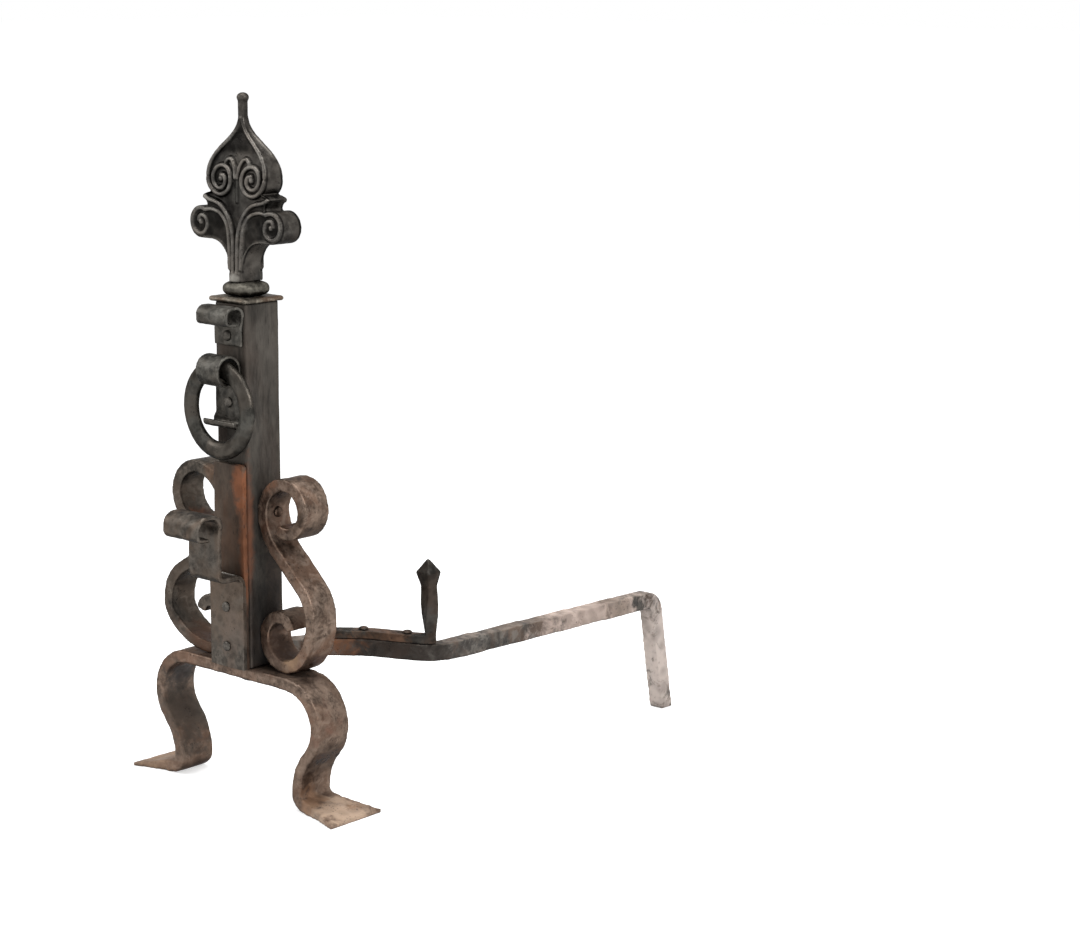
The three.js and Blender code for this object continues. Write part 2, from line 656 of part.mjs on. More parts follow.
// ---------- straps on the post ----------
function upperHook() {
  const rise = upperHookTop - strapThickness / 2 - upperHookBend - upperStrapBottom;
  const plate = drawPath([strapMidY, upperStrapBottom], 90, [[rise]]);
  const end = plate[plate.length - 1];
  const roll = drawPath([end.x, end.y - 0.5], 90, [[0.5], [upperHookBend, 90], [upperHookReach],
    [upperHookBend, 90], [upperHookDrop], [upperLipBend, lipTurn], [upperLipRun]]);
  const flare = new THREE.Shape();
  flare.moveTo(-strapWidth / 2, upperStrapBottom - 1);
  flare.lineTo(strapWidth / 2, upperStrapBottom - 1);
  flare.lineTo(strapWidth / 2, end.y - 12);
  flare.lineTo(upperHookWidth / 2, end.y + 1);
  flare.lineTo(-upperHookWidth / 2, end.y + 1);
  flare.lineTo(-strapWidth / 2, end.y - 12);
  const tail = alongX(barOutline(plate, strapThickness), -upperHookWidth, upperHookWidth)
    .intersect(alongY(flare, -postWidth * 2, 0));
  const hook = alongX(barOutline(roll, strapThickness), -upperHookWidth / 2, upperHookWidth / 2);
  return cut(join(tail, hook), ...holesFor([upperRivet]));
}
add('upper_hook', upperHook(), wornIron);

function ringStrap() {
  const lipMid = lipBottom + strapThickness / 2;
  const bend = 4;
  const front = drawPath([strapMidY, eyeZ], -90, [[eyeZ - lipMid - bend], [bend, -90], [lipReach - 2 * bend],
    [bend, -90], [lipHeight - strapThickness / 2 - bend]]);
  const eye = drawPath([strapMidY, eyeZ], 90, [[eyeMidRadius, eyeTurn]]);
  const lipStart = lipMid + bend;
  const tail = alongX(barOutline(front, strapThickness), -lipWidth / 2, lipWidth / 2);
  const narrow = new THREE.Shape();
  narrow.moveTo(-lipWidth / 2 - 1, lipBottom - 1);
  narrow.lineTo(lipWidth / 2 + 1, lipBottom - 1);
  narrow.lineTo(lipWidth / 2 + 1, lipStart);
  narrow.lineTo(strapWidth / 2, lipStart + 7);
  narrow.lineTo(strapWidth / 2, eyeZ - 14);
  narrow.lineTo(eyeWidth / 2, eyeZ - 6);
  narrow.lineTo(eyeWidth / 2, eyeZ + 1);
  narrow.lineTo(-eyeWidth / 2, eyeZ + 1);
  narrow.lineTo(-eyeWidth / 2, eyeZ - 6);
  narrow.lineTo(-strapWidth / 2, eyeZ - 14);
  narrow.lineTo(-strapWidth / 2, lipStart + 7);
  narrow.lineTo(-lipWidth / 2 - 1, lipStart);
  const plate = tail.intersect(alongY(narrow, -postWidth * 2, 0));
  const loop = alongX(barOutline(eye, strapThickness), -eyeWidth / 2, eyeWidth / 2);
  return cut(join(plate, loop), ...holesFor([ringRivet]));
}
add('ring_strap', ringStrap(), wornIron);

// ---------- hanging ring ----------
function ring() {
  const profile = [];
  const sides = 12;
  for (let i = 0; i < sides; i++) {
    const angle = (i / sides) * 2 * Math.PI;
    const across = (ringBreadth / 2) * Math.cos(angle);
    profile.push(new THREE.Vector2(ringBandRadius + across, (ringDepth / 2) * Math.sin(angle)));
  }
  profile.push(profile[0].clone());
  return new THREE.LatheGeometry(profile, 36);
}
add('ring', ring(), blackIron).position.set(0, eyeY, ringCentreZ);

// ---------- lower front strap and hook bracket ----------
function frontStrap() {
  const half = frontStrapWidth / 2;
  const outline = new THREE.Shape();
  outline.moveTo(-half, postBottom);
  outline.lineTo(half, postBottom);
  outline.lineTo(half, frontStrapTop - 4);
  outline.quadraticCurveTo(half, frontStrapTop, half - 4, frontStrapTop);
  outline.lineTo(4 - half, frontStrapTop);
  outline.quadraticCurveTo(-half, frontStrapTop, -half, frontStrapTop - 4);
  return cut(alongY(outline, frontStrapFace, postFrontY - fitGap), ...holesFor(bracketRivets));
}
add('front_strap', frontStrap(), postIron);

function hookBracket() {
  const plateMid = bracketFace + bracketThickness / 2;
  const riserMid = riserFrontY + bracketThickness / 2;
  const bottom = postBottom + 1;
  const rise = bracketShelfZ - bracketBend - bottom;
  const shelf = plateMid - riserMid - 2 * bracketBend;
  const climb = lowerHookTop - bracketThickness / 2 - lowerHookBend - bracketShelfZ - bracketBend;
  const path = drawPath([plateMid, bottom], 90,
    [[rise], [bracketBend, 90], [shelf], [bracketBend, -90], [climb]]);
  const end = path[path.length - 1];
  const roll = drawPath([end.x, end.y - 0.5], 90, [[0.5], [lowerHookBend, 90], [lowerHookReach],
    [lowerHookBend, 90], [lowerHookDrop], [lowerLipBend, lipTurn], [lowerLipRun]]);
  const outline = new THREE.Shape();
  const flareZ = end.y - 14;
  outline.moveTo(-bracketWidth / 2, bottom - 1);
  outline.lineTo(bracketWidth / 2, bottom - 1);
  outline.lineTo(bracketWidth / 2, bracketShelfZ - 8);
  outline.lineTo(riserWidth / 2, bracketShelfZ + 2);
  outline.lineTo(riserWidth / 2, flareZ);
  outline.quadraticCurveTo(riserWidth / 2 + 1, end.y - 3, lowerHookWidth / 2, end.y + 1);
  outline.lineTo(-lowerHookWidth / 2, end.y + 1);
  outline.quadraticCurveTo(-riserWidth / 2 - 1, end.y - 3, -riserWidth / 2, flareZ);
  outline.lineTo(-riserWidth / 2, bracketShelfZ + 2);
  outline.lineTo(-bracketWidth / 2, bracketShelfZ - 8);
  const plate = alongX(barOutline(path, bracketThickness), -lowerHookWidth, lowerHookWidth)
    .intersect(alongY(outline, riserFrontY * 2, 0));
  const taper = (t) => THREE.MathUtils.lerp(bracketThickness, bracketThickness * 0.7, t);
  const hook = alongX(barOutline(roll, taper), -lowerHookWidth / 2, lowerHookWidth / 2);
  return cut(join(plate, hook), ...holesFor(bracketRivets));
}
add('hook_bracket', hookBracket(), wornIron);

// ---------- billet bar ----------
const jogTurn = sweepTurn + crossTurn;
const jogStart = [[barLead], [sweepRadius, -sweepTurn], [sweepRun], [crossRadius, -crossTurn]];
const crossStart = drawPath([0, postHalf + fitGap], 90, jogStart);
const crossBend = crossStart[crossStart.length - 1];
const cornerReach = cornerRadius * (1 - Math.cos(jogTurn * degree));
const crossRun = (barOffset - crossBend.x - cornerReach) / Math.sin(jogTurn * degree);
const barPlan = drawPath([0, postHalf + fitGap], 90, [...jogStart, [crossRun], [cornerRadius, jogTurn]]);
const barCorner = barPlan[barPlan.length - 1];
const barLift = (y) => barRise * (1 - THREE.MathUtils.clamp((y - postHalf) / (barLength - postHalf), 0, 1));

// raises a plan-bent strip so that it climbs towards the post
function liftStrip(points, width, z0, z1) {
  const geometry = new THREE.ExtrudeGeometry(barOutline(points, width), flat(z1 - z0)).translate(0, 0, z0);
  const place = geometry.attributes.position;
  for (let i = 0; i < place.count; i++) place.setZ(i, place.getZ(i) + barLift(place.getY(i)));
  return toSolid(geometry);
}

function billetBar() {
  const corner = [barCorner.x, barCorner.y];
  const straight = new THREE.Vector2(corner[0], barLength);
  const sweepParts = [];
  barPlan.forEach((point, i) => {
    if (i === 0) return;
    const before = barPlan[i - 1];
    const pieces = Math.max(1, Math.round(point.distanceTo(before) / 12));
    for (let k = 1; k <= pieces; k++) sweepParts.push(before.clone().lerp(point, k / pieces));
  });
  const level = liftStrip([barPlan[0], ...sweepParts, straight], barSize, barTop - barSize, barTop);
  const middleZ = barTop - barHalf;
  const lean = (90 - rearTurn) * degree;
  const dropTo = (middleZ - rearBend * (1 - Math.cos(rearTurn * degree))) / Math.cos(lean) + barSize;
  const rear = drawPath([barLength - 1, middleZ], 0, [[1], [rearBend, -rearTurn], [dropTo]]);
  const leg = alongX(barOutline(rear, barSize), barOffset - barHalf, barOffset + barHalf)
    .intersect(block(0, 2 * barOffset, 0, 2 * barLength, 0, archTop * 2));
  const tenonHalf = mortiseSize / 2;
  const tenonZ = middleZ + barRise;
  const tenon = block(-tenonHalf, tenonHalf, postHalf - mortiseDepth, postHalf + fitGap + 1,
    tenonZ - tenonHalf, tenonZ + tenonHalf);
  return cut(join(level, leg, tenon), ...holesFor(guardRivets));
}

// ---------- guard ----------
const tongueTop = barTop + fitGap + tongueThickness;
const crossIndex = crossStart.length - 1;
const cornerIndex = crossIndex + 1;
const guardSpot = barPlan[cornerIndex + 2];
const sweepIndex = crossIndex - Math.max(2, Math.round(crossTurn / arcStep));
const tongueTip = barPlan[sweepIndex - 1].clone().lerp(barPlan[sweepIndex], 0.45);
const tonguePath = [tongueTip, ...barPlan.slice(sweepIndex, cornerIndex + 4)];
const guardRivets = [[sweepIndex, 0.4], [crossIndex, 0.78]].map(([index, share]) => {
  const { x, y } = barPlan[index].clone().lerp(barPlan[index + 1], share);
  return { seat: [x, y, tongueTop + barLift(y) + 2 * fitGap], inward: [0, 0, -1], length: tongueThickness + 9 };
});

function guard() {
  const tongue = liftStrip(tonguePath, tongueWidth, barTop + fitGap, tongueTop);
  const base = barTop + 2 * fitGap + barLift(guardSpot.y);
  const heights = [[0, guardFoot], [0.1, guardFoot], [0.2, (guardFoot + guardBelly) / 2], [0.34, guardBelly],
    [0.46, guardBelly], [0.58, (guardBelly + guardNeck) / 2], [0.68, guardNeck], [0.847, guardHead],
    [0.96, guardHead * 0.35], [1, guardHead * 0.1]];
  const rings = heights.map(([share, half]) => {
    const turn = (guardSquare + guardTwist * THREE.MathUtils.smoothstep(share, 0.05, 0.68)) * degree;
    return chamferedSquare(half, half * 0.2).map((corner) => {
      const { x, y } = corner.rotateAround(new THREE.Vector2(), turn);
      return [guardSpot.x + x + guardLean * (1 - share), guardSpot.y + y, base + guardHeight * share];
    });
  });
  return cut(join(tongue, stackRings(rings)), ...holesFor(guardRivets));
}
add('billet_bar', billetBar(), ashIron);
add('guard', guard(), blackIron);

// ---------- rivets ----------
const fasteners = {
  upper_hook_rivet: upperRivet,
  ring_strap_rivet: ringRivet,
  bracket_rivet_lower: bracketRivets[0],
  bracket_rivet_upper: bracketRivets[1],
  scroll_rivet_left: scrollRivets[0],
  scroll_rivet_right: scrollRivets[1],
  arch_rivet_left: footRivets[0],
  arch_rivet_right: footRivets[1],
  guard_rivet_front: guardRivets[0],
  guard_rivet_rear: guardRivets[1],
};
for (const [name, { seat, inward, length }] of Object.entries(fasteners)) {
  add(name, rivet(seat, inward, length), wornIron);
}

// the origin is on the floor, in the middle of the footprint
const extent = new THREE.Box3().setFromObject(andiron);
const middle = extent.getCenter(new THREE.Vector3());
andiron.position.set(-middle.x, -middle.y, -extent.min.z);

export default andiron;
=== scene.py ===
import math
import bpy
import numpy as np
from mathutils import Matrix, Vector, kdtree, noise


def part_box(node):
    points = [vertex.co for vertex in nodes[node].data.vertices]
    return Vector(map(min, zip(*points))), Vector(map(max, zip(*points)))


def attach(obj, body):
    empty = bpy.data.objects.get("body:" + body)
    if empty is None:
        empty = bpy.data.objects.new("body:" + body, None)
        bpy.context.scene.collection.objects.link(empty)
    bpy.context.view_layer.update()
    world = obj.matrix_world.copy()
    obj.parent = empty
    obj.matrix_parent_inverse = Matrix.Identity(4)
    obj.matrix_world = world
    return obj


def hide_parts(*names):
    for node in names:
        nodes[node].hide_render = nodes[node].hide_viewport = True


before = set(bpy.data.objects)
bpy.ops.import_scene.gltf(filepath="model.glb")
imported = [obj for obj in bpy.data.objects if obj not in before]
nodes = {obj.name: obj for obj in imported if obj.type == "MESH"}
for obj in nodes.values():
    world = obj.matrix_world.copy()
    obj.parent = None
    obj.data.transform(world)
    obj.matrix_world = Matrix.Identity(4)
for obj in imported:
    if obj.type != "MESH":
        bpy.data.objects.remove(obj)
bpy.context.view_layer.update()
mm = 0.001
postLow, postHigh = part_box("post")
postX = (postLow.x + postHigh.x) / 2
postY = (postLow.y + postHigh.y) / 2
print("frame loaded:", len(nodes), "nodes")


def spot(x, y, z):  # millimetres from the foot of the post
    return Vector((postX + x * mm, postY + y * mm, z * mm))


# camera, set where the photograph was taken from, seen from the post's foot
lens = {"x": 1716, "y": -1536, "z": 767, "turn": 41.41, "dip": 11.21, "roll": 0.29, "length": 83.33}


def addCamera():
    data = bpy.data.cameras.new("camera")
    data.lens = lens["length"]
    data.sensor_width = 36
    data.clip_start, data.clip_end = 0.05, 60
    camera = bpy.data.objects.new("camera", data)
    turn, dip, roll = (math.radians(lens[k]) for k in ("turn", "dip", "roll"))
    ahead = Vector((-math.sin(turn) * math.cos(dip), math.cos(turn) * math.cos(dip), -math.sin(dip)))
    level = Vector((math.cos(turn), math.sin(turn), 0))
    upright = level.cross(ahead)
    right = level * math.cos(roll) + upright * math.sin(roll)
    up = upright * math.cos(roll) - level * math.sin(roll)
    camera.matrix_world = Matrix.Translation(spot(lens["x"], lens["y"], lens["z"])) @ Matrix(
        (right, up, -ahead)).transposed().to_4x4()
    bpy.context.collection.objects.link(camera)
    bpy.context.scene.camera = camera


addCamera()
print("camera placed")


# node helpers
def newGroup(name, inputs, outputs):
    group = bpy.data.node_groups.new(name, "ShaderNodeTree")
    for label, kind, value in inputs:
        entry = group.interface.new_socket(name=label, in_out="INPUT", socket_type=kind)
        if value is not None:
            entry.default_value = value
    for label, kind in outputs:
        group.interface.new_socket(name=label, in_out="OUTPUT", socket_type=kind)
    return group, group.nodes.new("NodeGroupInput"), group.nodes.new("NodeGroupOutput")


def put(tree, kind, settings=None, **links):
    node = tree.nodes.new(kind)
    for key, value in (settings or {}).items():
        setattr(node, key, value)
    for key, value in links.items():
        name = key.replace("_", " ").strip()
        entry = node.inputs[int(name)] if name.isdigit() else node.inputs[name]
        if isinstance(value, bpy.types.NodeSocket):
            tree.links.new(value, entry)
        else:
            entry.default_value = value
    return node


def sums(tree, operation, a, b=0.0, clamp=False):
    node = tree.nodes.new("ShaderNodeMath")
    node.operation = operation
    node.use_clamp = clamp
    for i, value in enumerate((a, b)):
        if isinstance(value, bpy.types.NodeSocket):
            tree.links.new(value, node.inputs[i])
        else:
            node.inputs[i].default_value = value
    return node.outputs[0]


def span(tree, value, low, high, toLow=0.0, toHigh=1.0):
    node = tree.nodes.new("ShaderNodeMapRange")
    node.interpolation_type = "SMOOTHSTEP"
    tree.links.new(value, node.inputs["Value"])
    for label, number in (("From Min", low), ("From Max", high), ("To Min", toLow), ("To Max", toHigh)):
        if isinstance(number, bpy.types.NodeSocket):
            tree.links.new(number, node.inputs[label])
        else:
            node.inputs[label].default_value = number
    return node.outputs["Result"]


def blendColour(tree, factor, a, b, way="MIX"):
    node = tree.nodes.new("ShaderNodeMix")
    node.data_type = "RGBA"
    node.blend_type = way
    for value, entry in ((factor, node.inputs[0]), (a, node.inputs[6]), (b, node.inputs[7])):
        if isinstance(value, bpy.types.NodeSocket):
            tree.links.new(value, entry)
        else:
            entry.default_value = value if isinstance(value, float) else (*value, 1)
    return node.outputs[2]


def noiseOf(tree, place, scale, detail=4.0, rough=0.55, warp=0.0):
    return put(tree, "ShaderNodeTexNoise", None, Vector=place, Scale=scale, Detail=detail,
               Roughness=rough, Distortion=warp).outputs[0]


# shared surface effects
def forgeScaleGroup():
    group, start, end = newGroup(
        "forgeScale",
        [("Place", "NodeSocketVector", None), ("Grain", "NodeSocketFloat", 1.0)],
        [("Tone", "NodeSocketFloat"), ("Height", "NodeSocketFloat"), ("Pits", "NodeSocketFloat")])
    wide = put(group, "ShaderNodeVectorMath", {"operation": "SCALE"}, **{"0": start.outputs[0], "Scale": start.outputs[1]})
    place = wide.outputs[0]
    clouds = noiseOf(group, place, 34.0, 4.0, 0.6, 0.4)
    flecks = noiseOf(group, place, 115.0, 5.0, 0.6, 0.3)
    fine = noiseOf(group, place, 330.0, 4.0, 0.62)
    cells = put(group, "ShaderNodeTexVoronoi", {"feature": "SMOOTH_F1"}, Vector=place, Scale=95.0, Smoothness=0.5)
    holes = put(group, "ShaderNodeTexVoronoi", {"feature": "F1"}, Vector=place, Scale=330.0, Randomness=1.0)
    pits = span(group, holes.outputs["Distance"], 0.16, 0.36, 1.0, 0.0)
    sparse = span(group, noiseOf(group, place, 60.0, 3.0), 0.5, 0.66)
    pits = sums(group, "MULTIPLY", pits, sparse)
    tone = sums(group, "ADD", sums(group, "MULTIPLY", clouds, 0.34), sums(group, "MULTIPLY", flecks, 0.38))
    tone = sums(group, "ADD", tone, sums(group, "MULTIPLY", fine, 0.28))
    height = sums(group, "ADD", sums(group, "MULTIPLY", cells.outputs["Distance"], 0.35), sums(group, "MULTIPLY", flecks, 0.6))
    height = sums(group, "ADD", height, sums(group, "MULTIPLY", fine, 0.22))
    height = sums(group, "SUBTRACT", height, sums(group, "MULTIPLY", pits, 0.35))
    group.links.new(span(group, tone, 0.4, 0.6), end.inputs[0])
    group.links.new(height, end.inputs[1])
    group.links.new(pits, end.inputs[2])
    return group


def wornEdgeAndHollowShadeGroup():
    group, start, end = newGroup(
        "wornEdgeAndHollowShade",
        [("Place", "NodeSocketVector", None), ("Low", "NodeSocketFloat", 0.5), ("High", "NodeSocketFloat", 0.6)],
        [("Worn", "NodeSocketFloat"), ("HollowShade", "NodeSocketFloat")])
    shape = put(group, "ShaderNodeNewGeometry")
    broken = noiseOf(group, start.outputs[0], 170.0, 4.0, 0.7)
    lift = sums(group, "MULTIPLY", sums(group, "SUBTRACT", broken, 0.5), 0.2)
    sharp = sums(group, "ADD", shape.outputs["Pointiness"], lift)
    group.links.new(span(group, sharp, start.outputs[1], start.outputs[2]), end.inputs[0])
    # second output, painted shade: places of low pointiness, hollows and creases, are marked for darkening
    group.links.new(span(group, sharp, 0.4, 0.49, 1.0, 0.0), end.inputs[1])
    return group


def stainAndLightSpotGroup():
    group, start, end = newGroup(
        "stainAndLightSpot",
        [("Place", "NodeSocketVector", None), ("Spot", "NodeSocketVector", None), ("Radius", "NodeSocketFloat", 0.03),
         ("Ragged", "NodeSocketFloat", 0.5), ("Stretch", "NodeSocketVector", None)],
        [("Mask", "NodeSocketFloat")])
    away = put(group, "ShaderNodeVectorMath", {"operation": "SUBTRACT"}, **{"0": start.outputs[0], "1": start.outputs[1]})
    away = put(group, "ShaderNodeVectorMath", {"operation": "DIVIDE"}, **{"0": away.outputs[0], "1": start.outputs[4]})
    reach = put(group, "ShaderNodeVectorMath", {"operation": "LENGTH"}, **{"0": away.outputs[0]}).outputs["Value"]
    reach = sums(group, "DIVIDE", reach, start.outputs[2])
    rough = sums(group, "SUBTRACT", noiseOf(group, start.outputs[0], 70.0, 6.0, 0.68, 0.5), 0.5)
    reach = sums(group, "ADD", reach, sums(group, "MULTIPLY", rough, sums(group, "MULTIPLY", start.outputs[3], 4.0)))
    group.links.new(span(group, reach, 0.35, 1.0, 1.0, 0.0), end.inputs[0])
    return group


def ashGroup():
    group, start, end = newGroup(
        "ashFall",
        [("Place", "NodeSocketVector", None), ("Amount", "NodeSocketFloat", 0.5)],
        [("Mask", "NodeSocketFloat")])
    shape = put(group, "ShaderNodeNewGeometry")
    up = put(group, "ShaderNodeSeparateXYZ", None, Vector=shape.outputs["Normal"]).outputs[2]
    flakes = noiseOf(group, start.outputs[0], 85.0, 6.0, 0.7)
    both = sums(group, "ADD", span(group, up, 0.1, 0.95, 0.0, 0.35), flakes)
    low = sums(group, "SUBTRACT", 1.0, start.outputs[1])
    group.links.new(span(group, both, low, sums(group, "ADD", low, 0.25)), end.inputs[0])
    return group


# painted shade: faces that look downwards are darkened, with a ragged border
def undersidePaintedShadeGroup():
    group, start, end = newGroup("underSoot", [("Place", "NodeSocketVector", None)], [("Mask", "NodeSocketFloat")])
    shape = put(group, "ShaderNodeNewGeometry")
    up = put(group, "ShaderNodeSeparateXYZ", None, Vector=shape.outputs["Normal"]).outputs[2]
    ragged = sums(group, "MULTIPLY", sums(group, "SUBTRACT", noiseOf(group, start.outputs[0], 60.0, 4.0), 0.5), 0.8)
    group.links.new(span(group, sums(group, "ADD", up, ragged), -0.75, 0.05, 1.0, 0.0), end.inputs[0])
    return group


effects = {"paintedShade": undersidePaintedShadeGroup(), "scale": forgeScaleGroup(), "wearAndShade": wornEdgeAndHollowShadeGroup(), "stainAndLightSpot": stainAndLightSpotGroup(), "ash": ashGroup()}
print("surface effects built")


def placed(tree, name, **inputs):
    node = tree.nodes.new("ShaderNodeGroup")
    node.node_tree = effects[name]
    for key, value in inputs.items():
        entry = node.inputs[key]
        if isinstance(value, bpy.types.NodeSocket):
            tree.links.new(value, entry)
        else:
            entry.default_value = value
    return node


def ironFinish(name, look):
    material = bpy.data.materials.new(name)
    material.use_nodes = True
    tree = material.node_tree
    shader = tree.nodes["Principled BSDF"]
    place = put(tree, "ShaderNodeTexCoord").outputs["Object"]
    drawn = place
    if "streak" in look:  # the grain of the bar runs this way
        drawn = put(tree, "ShaderNodeVectorMath", {"operation": "MULTIPLY"}, **{"0": place, "1": look["streak"]}).outputs[0]
    scale = placed(tree, "scale", Place=drawn, Grain=look["grain"])
    wearAndShade = placed(tree, "wearAndShade", Place=place, Low=look["wearAndShade"][0], High=look["wearAndShade"][1])
    colour = blendColour(tree, scale.outputs["Tone"], look["dark"], look["light"])
    if "patch" in look:  # slow drift between two browns or greys
        drift = span(tree, noiseOf(tree, drawn, look["patchScale"], 4.0, 0.6, 0.6), 0.4, 0.62)
        colour = blendColour(tree, sums(tree, "MULTIPLY", drift, look.get("patchAmount", 0.8)), colour, look["patch"])
    if "blotch" in look:  # ragged blotches over both
        ragged = noiseOf(tree, drawn, look.get("blotchScale", 62.0), 6.0, 0.68, 0.9)
        ragged = sums(tree, "MULTIPLY", span(tree, ragged, 0.48, 0.66), look.get("blotchAmount", 0.7))
        colour = blendColour(tree, ragged, colour, look["blotch"])
    if "ash" in look:
        ash = placed(tree, "ash", Place=place, Amount=look["ashAmount"])
        colour = blendColour(tree, ash.outputs["Mask"], colour, look["ash"])
    relief = put(tree, "ShaderNodeAttribute", {"attribute_name": "relief"}).outputs["Fac"]
    low, high = look.get("relief", (0.86, 1.12))
    shade = span(tree, relief, 0.1, 0.9, low, high)  # hollows darkened as painted shade, high ground lightened as painted highlight and rubbed wear
    rough = span(tree, scale.outputs["Tone"], 0.0, 1.0, look["rough"][0], look["rough"][1])
    shine = None
    # spots laid over the colour: rust and stains, and in some finishes painted highlights and painted shade
    for stainAndLightSpot in look.get("stainAndLightSpots", []):
        mask = placed(tree, "stainAndLightSpot", Place=place, Spot=stainAndLightSpot["spot"], Radius=stainAndLightSpot["radius"],
                      Ragged=stainAndLightSpot.get("ragged", 0.4), Stretch=stainAndLightSpot.get("stretch", (1, 1, 1))).outputs[0]
        mask = sums(tree, "MULTIPLY", mask, stainAndLightSpot.get("amount", 0.8))
        colour = blendColour(tree, mask, colour, stainAndLightSpot["colour"])
        rough = sums(tree, "ADD", rough, sums(tree, "MULTIPLY", mask, 0.2), clamp=True)
        shine = mask if shine is None else sums(tree, "MAXIMUM", shine, mask)
    # painted shade on faces that look downwards
    under = placed(tree, "paintedShade", Place=place).outputs[0]
    shade = sums(tree, "MULTIPLY", shade, span(tree, under, 0.0, 1.0, 1.0, look.get("under", 0.5)))
    colour = put(tree, "ShaderNodeVectorMath", {"operation": "SCALE"}, **{"0": colour, "Scale": shade}).outputs[0]
    # painted shade: hollows and creases are darkened towards a near-black colour
    colour = blendColour(tree, sums(tree, "MULTIPLY", wearAndShade.outputs["HollowShade"], look.get("paintedShade", 0.6)), colour, look["pitsAndShade"])
    colour = blendColour(tree, sums(tree, "MULTIPLY", wearAndShade.outputs["Worn"], look.get("rub", 0.7)), colour, look["edge"])
    # pits in the scale take the same near-black colour
    colour = blendColour(tree, sums(tree, "MULTIPLY", scale.outputs["Pits"], 0.55), colour, look["pitsAndShade"])
    tree.links.new(colour, shader.inputs["Base Color"])
    tree.links.new(rough, shader.inputs["Roughness"])
    if shine is None:
        shader.inputs["Metallic"].default_value = look["metal"]
    else:
        tree.links.new(span(tree, shine, 0.0, 1.0, look["metal"], 0.05), shader.inputs["Metallic"])
    shader.inputs["Specular IOR Level"].default_value = 0.25
    shader.inputs["Specular Tint"].default_value = (0.3, 0.29, 0.28, 1)  # iron under scale darkens towards its edges
    bump = put(tree, "ShaderNodeBump", None, Strength=look["bump"], Distance=0.0011, Height=scale.outputs["Height"])
    tree.links.new(bump.outputs[0], shader.inputs["Normal"])
    return material


rustOrange = (0.25, 0.082, 0.030)
rustBrown = (0.12, 0.052, 0.027)
paleAsh = (0.42, 0.37, 0.33)
toeTan = (0.40, 0.29, 0.21)

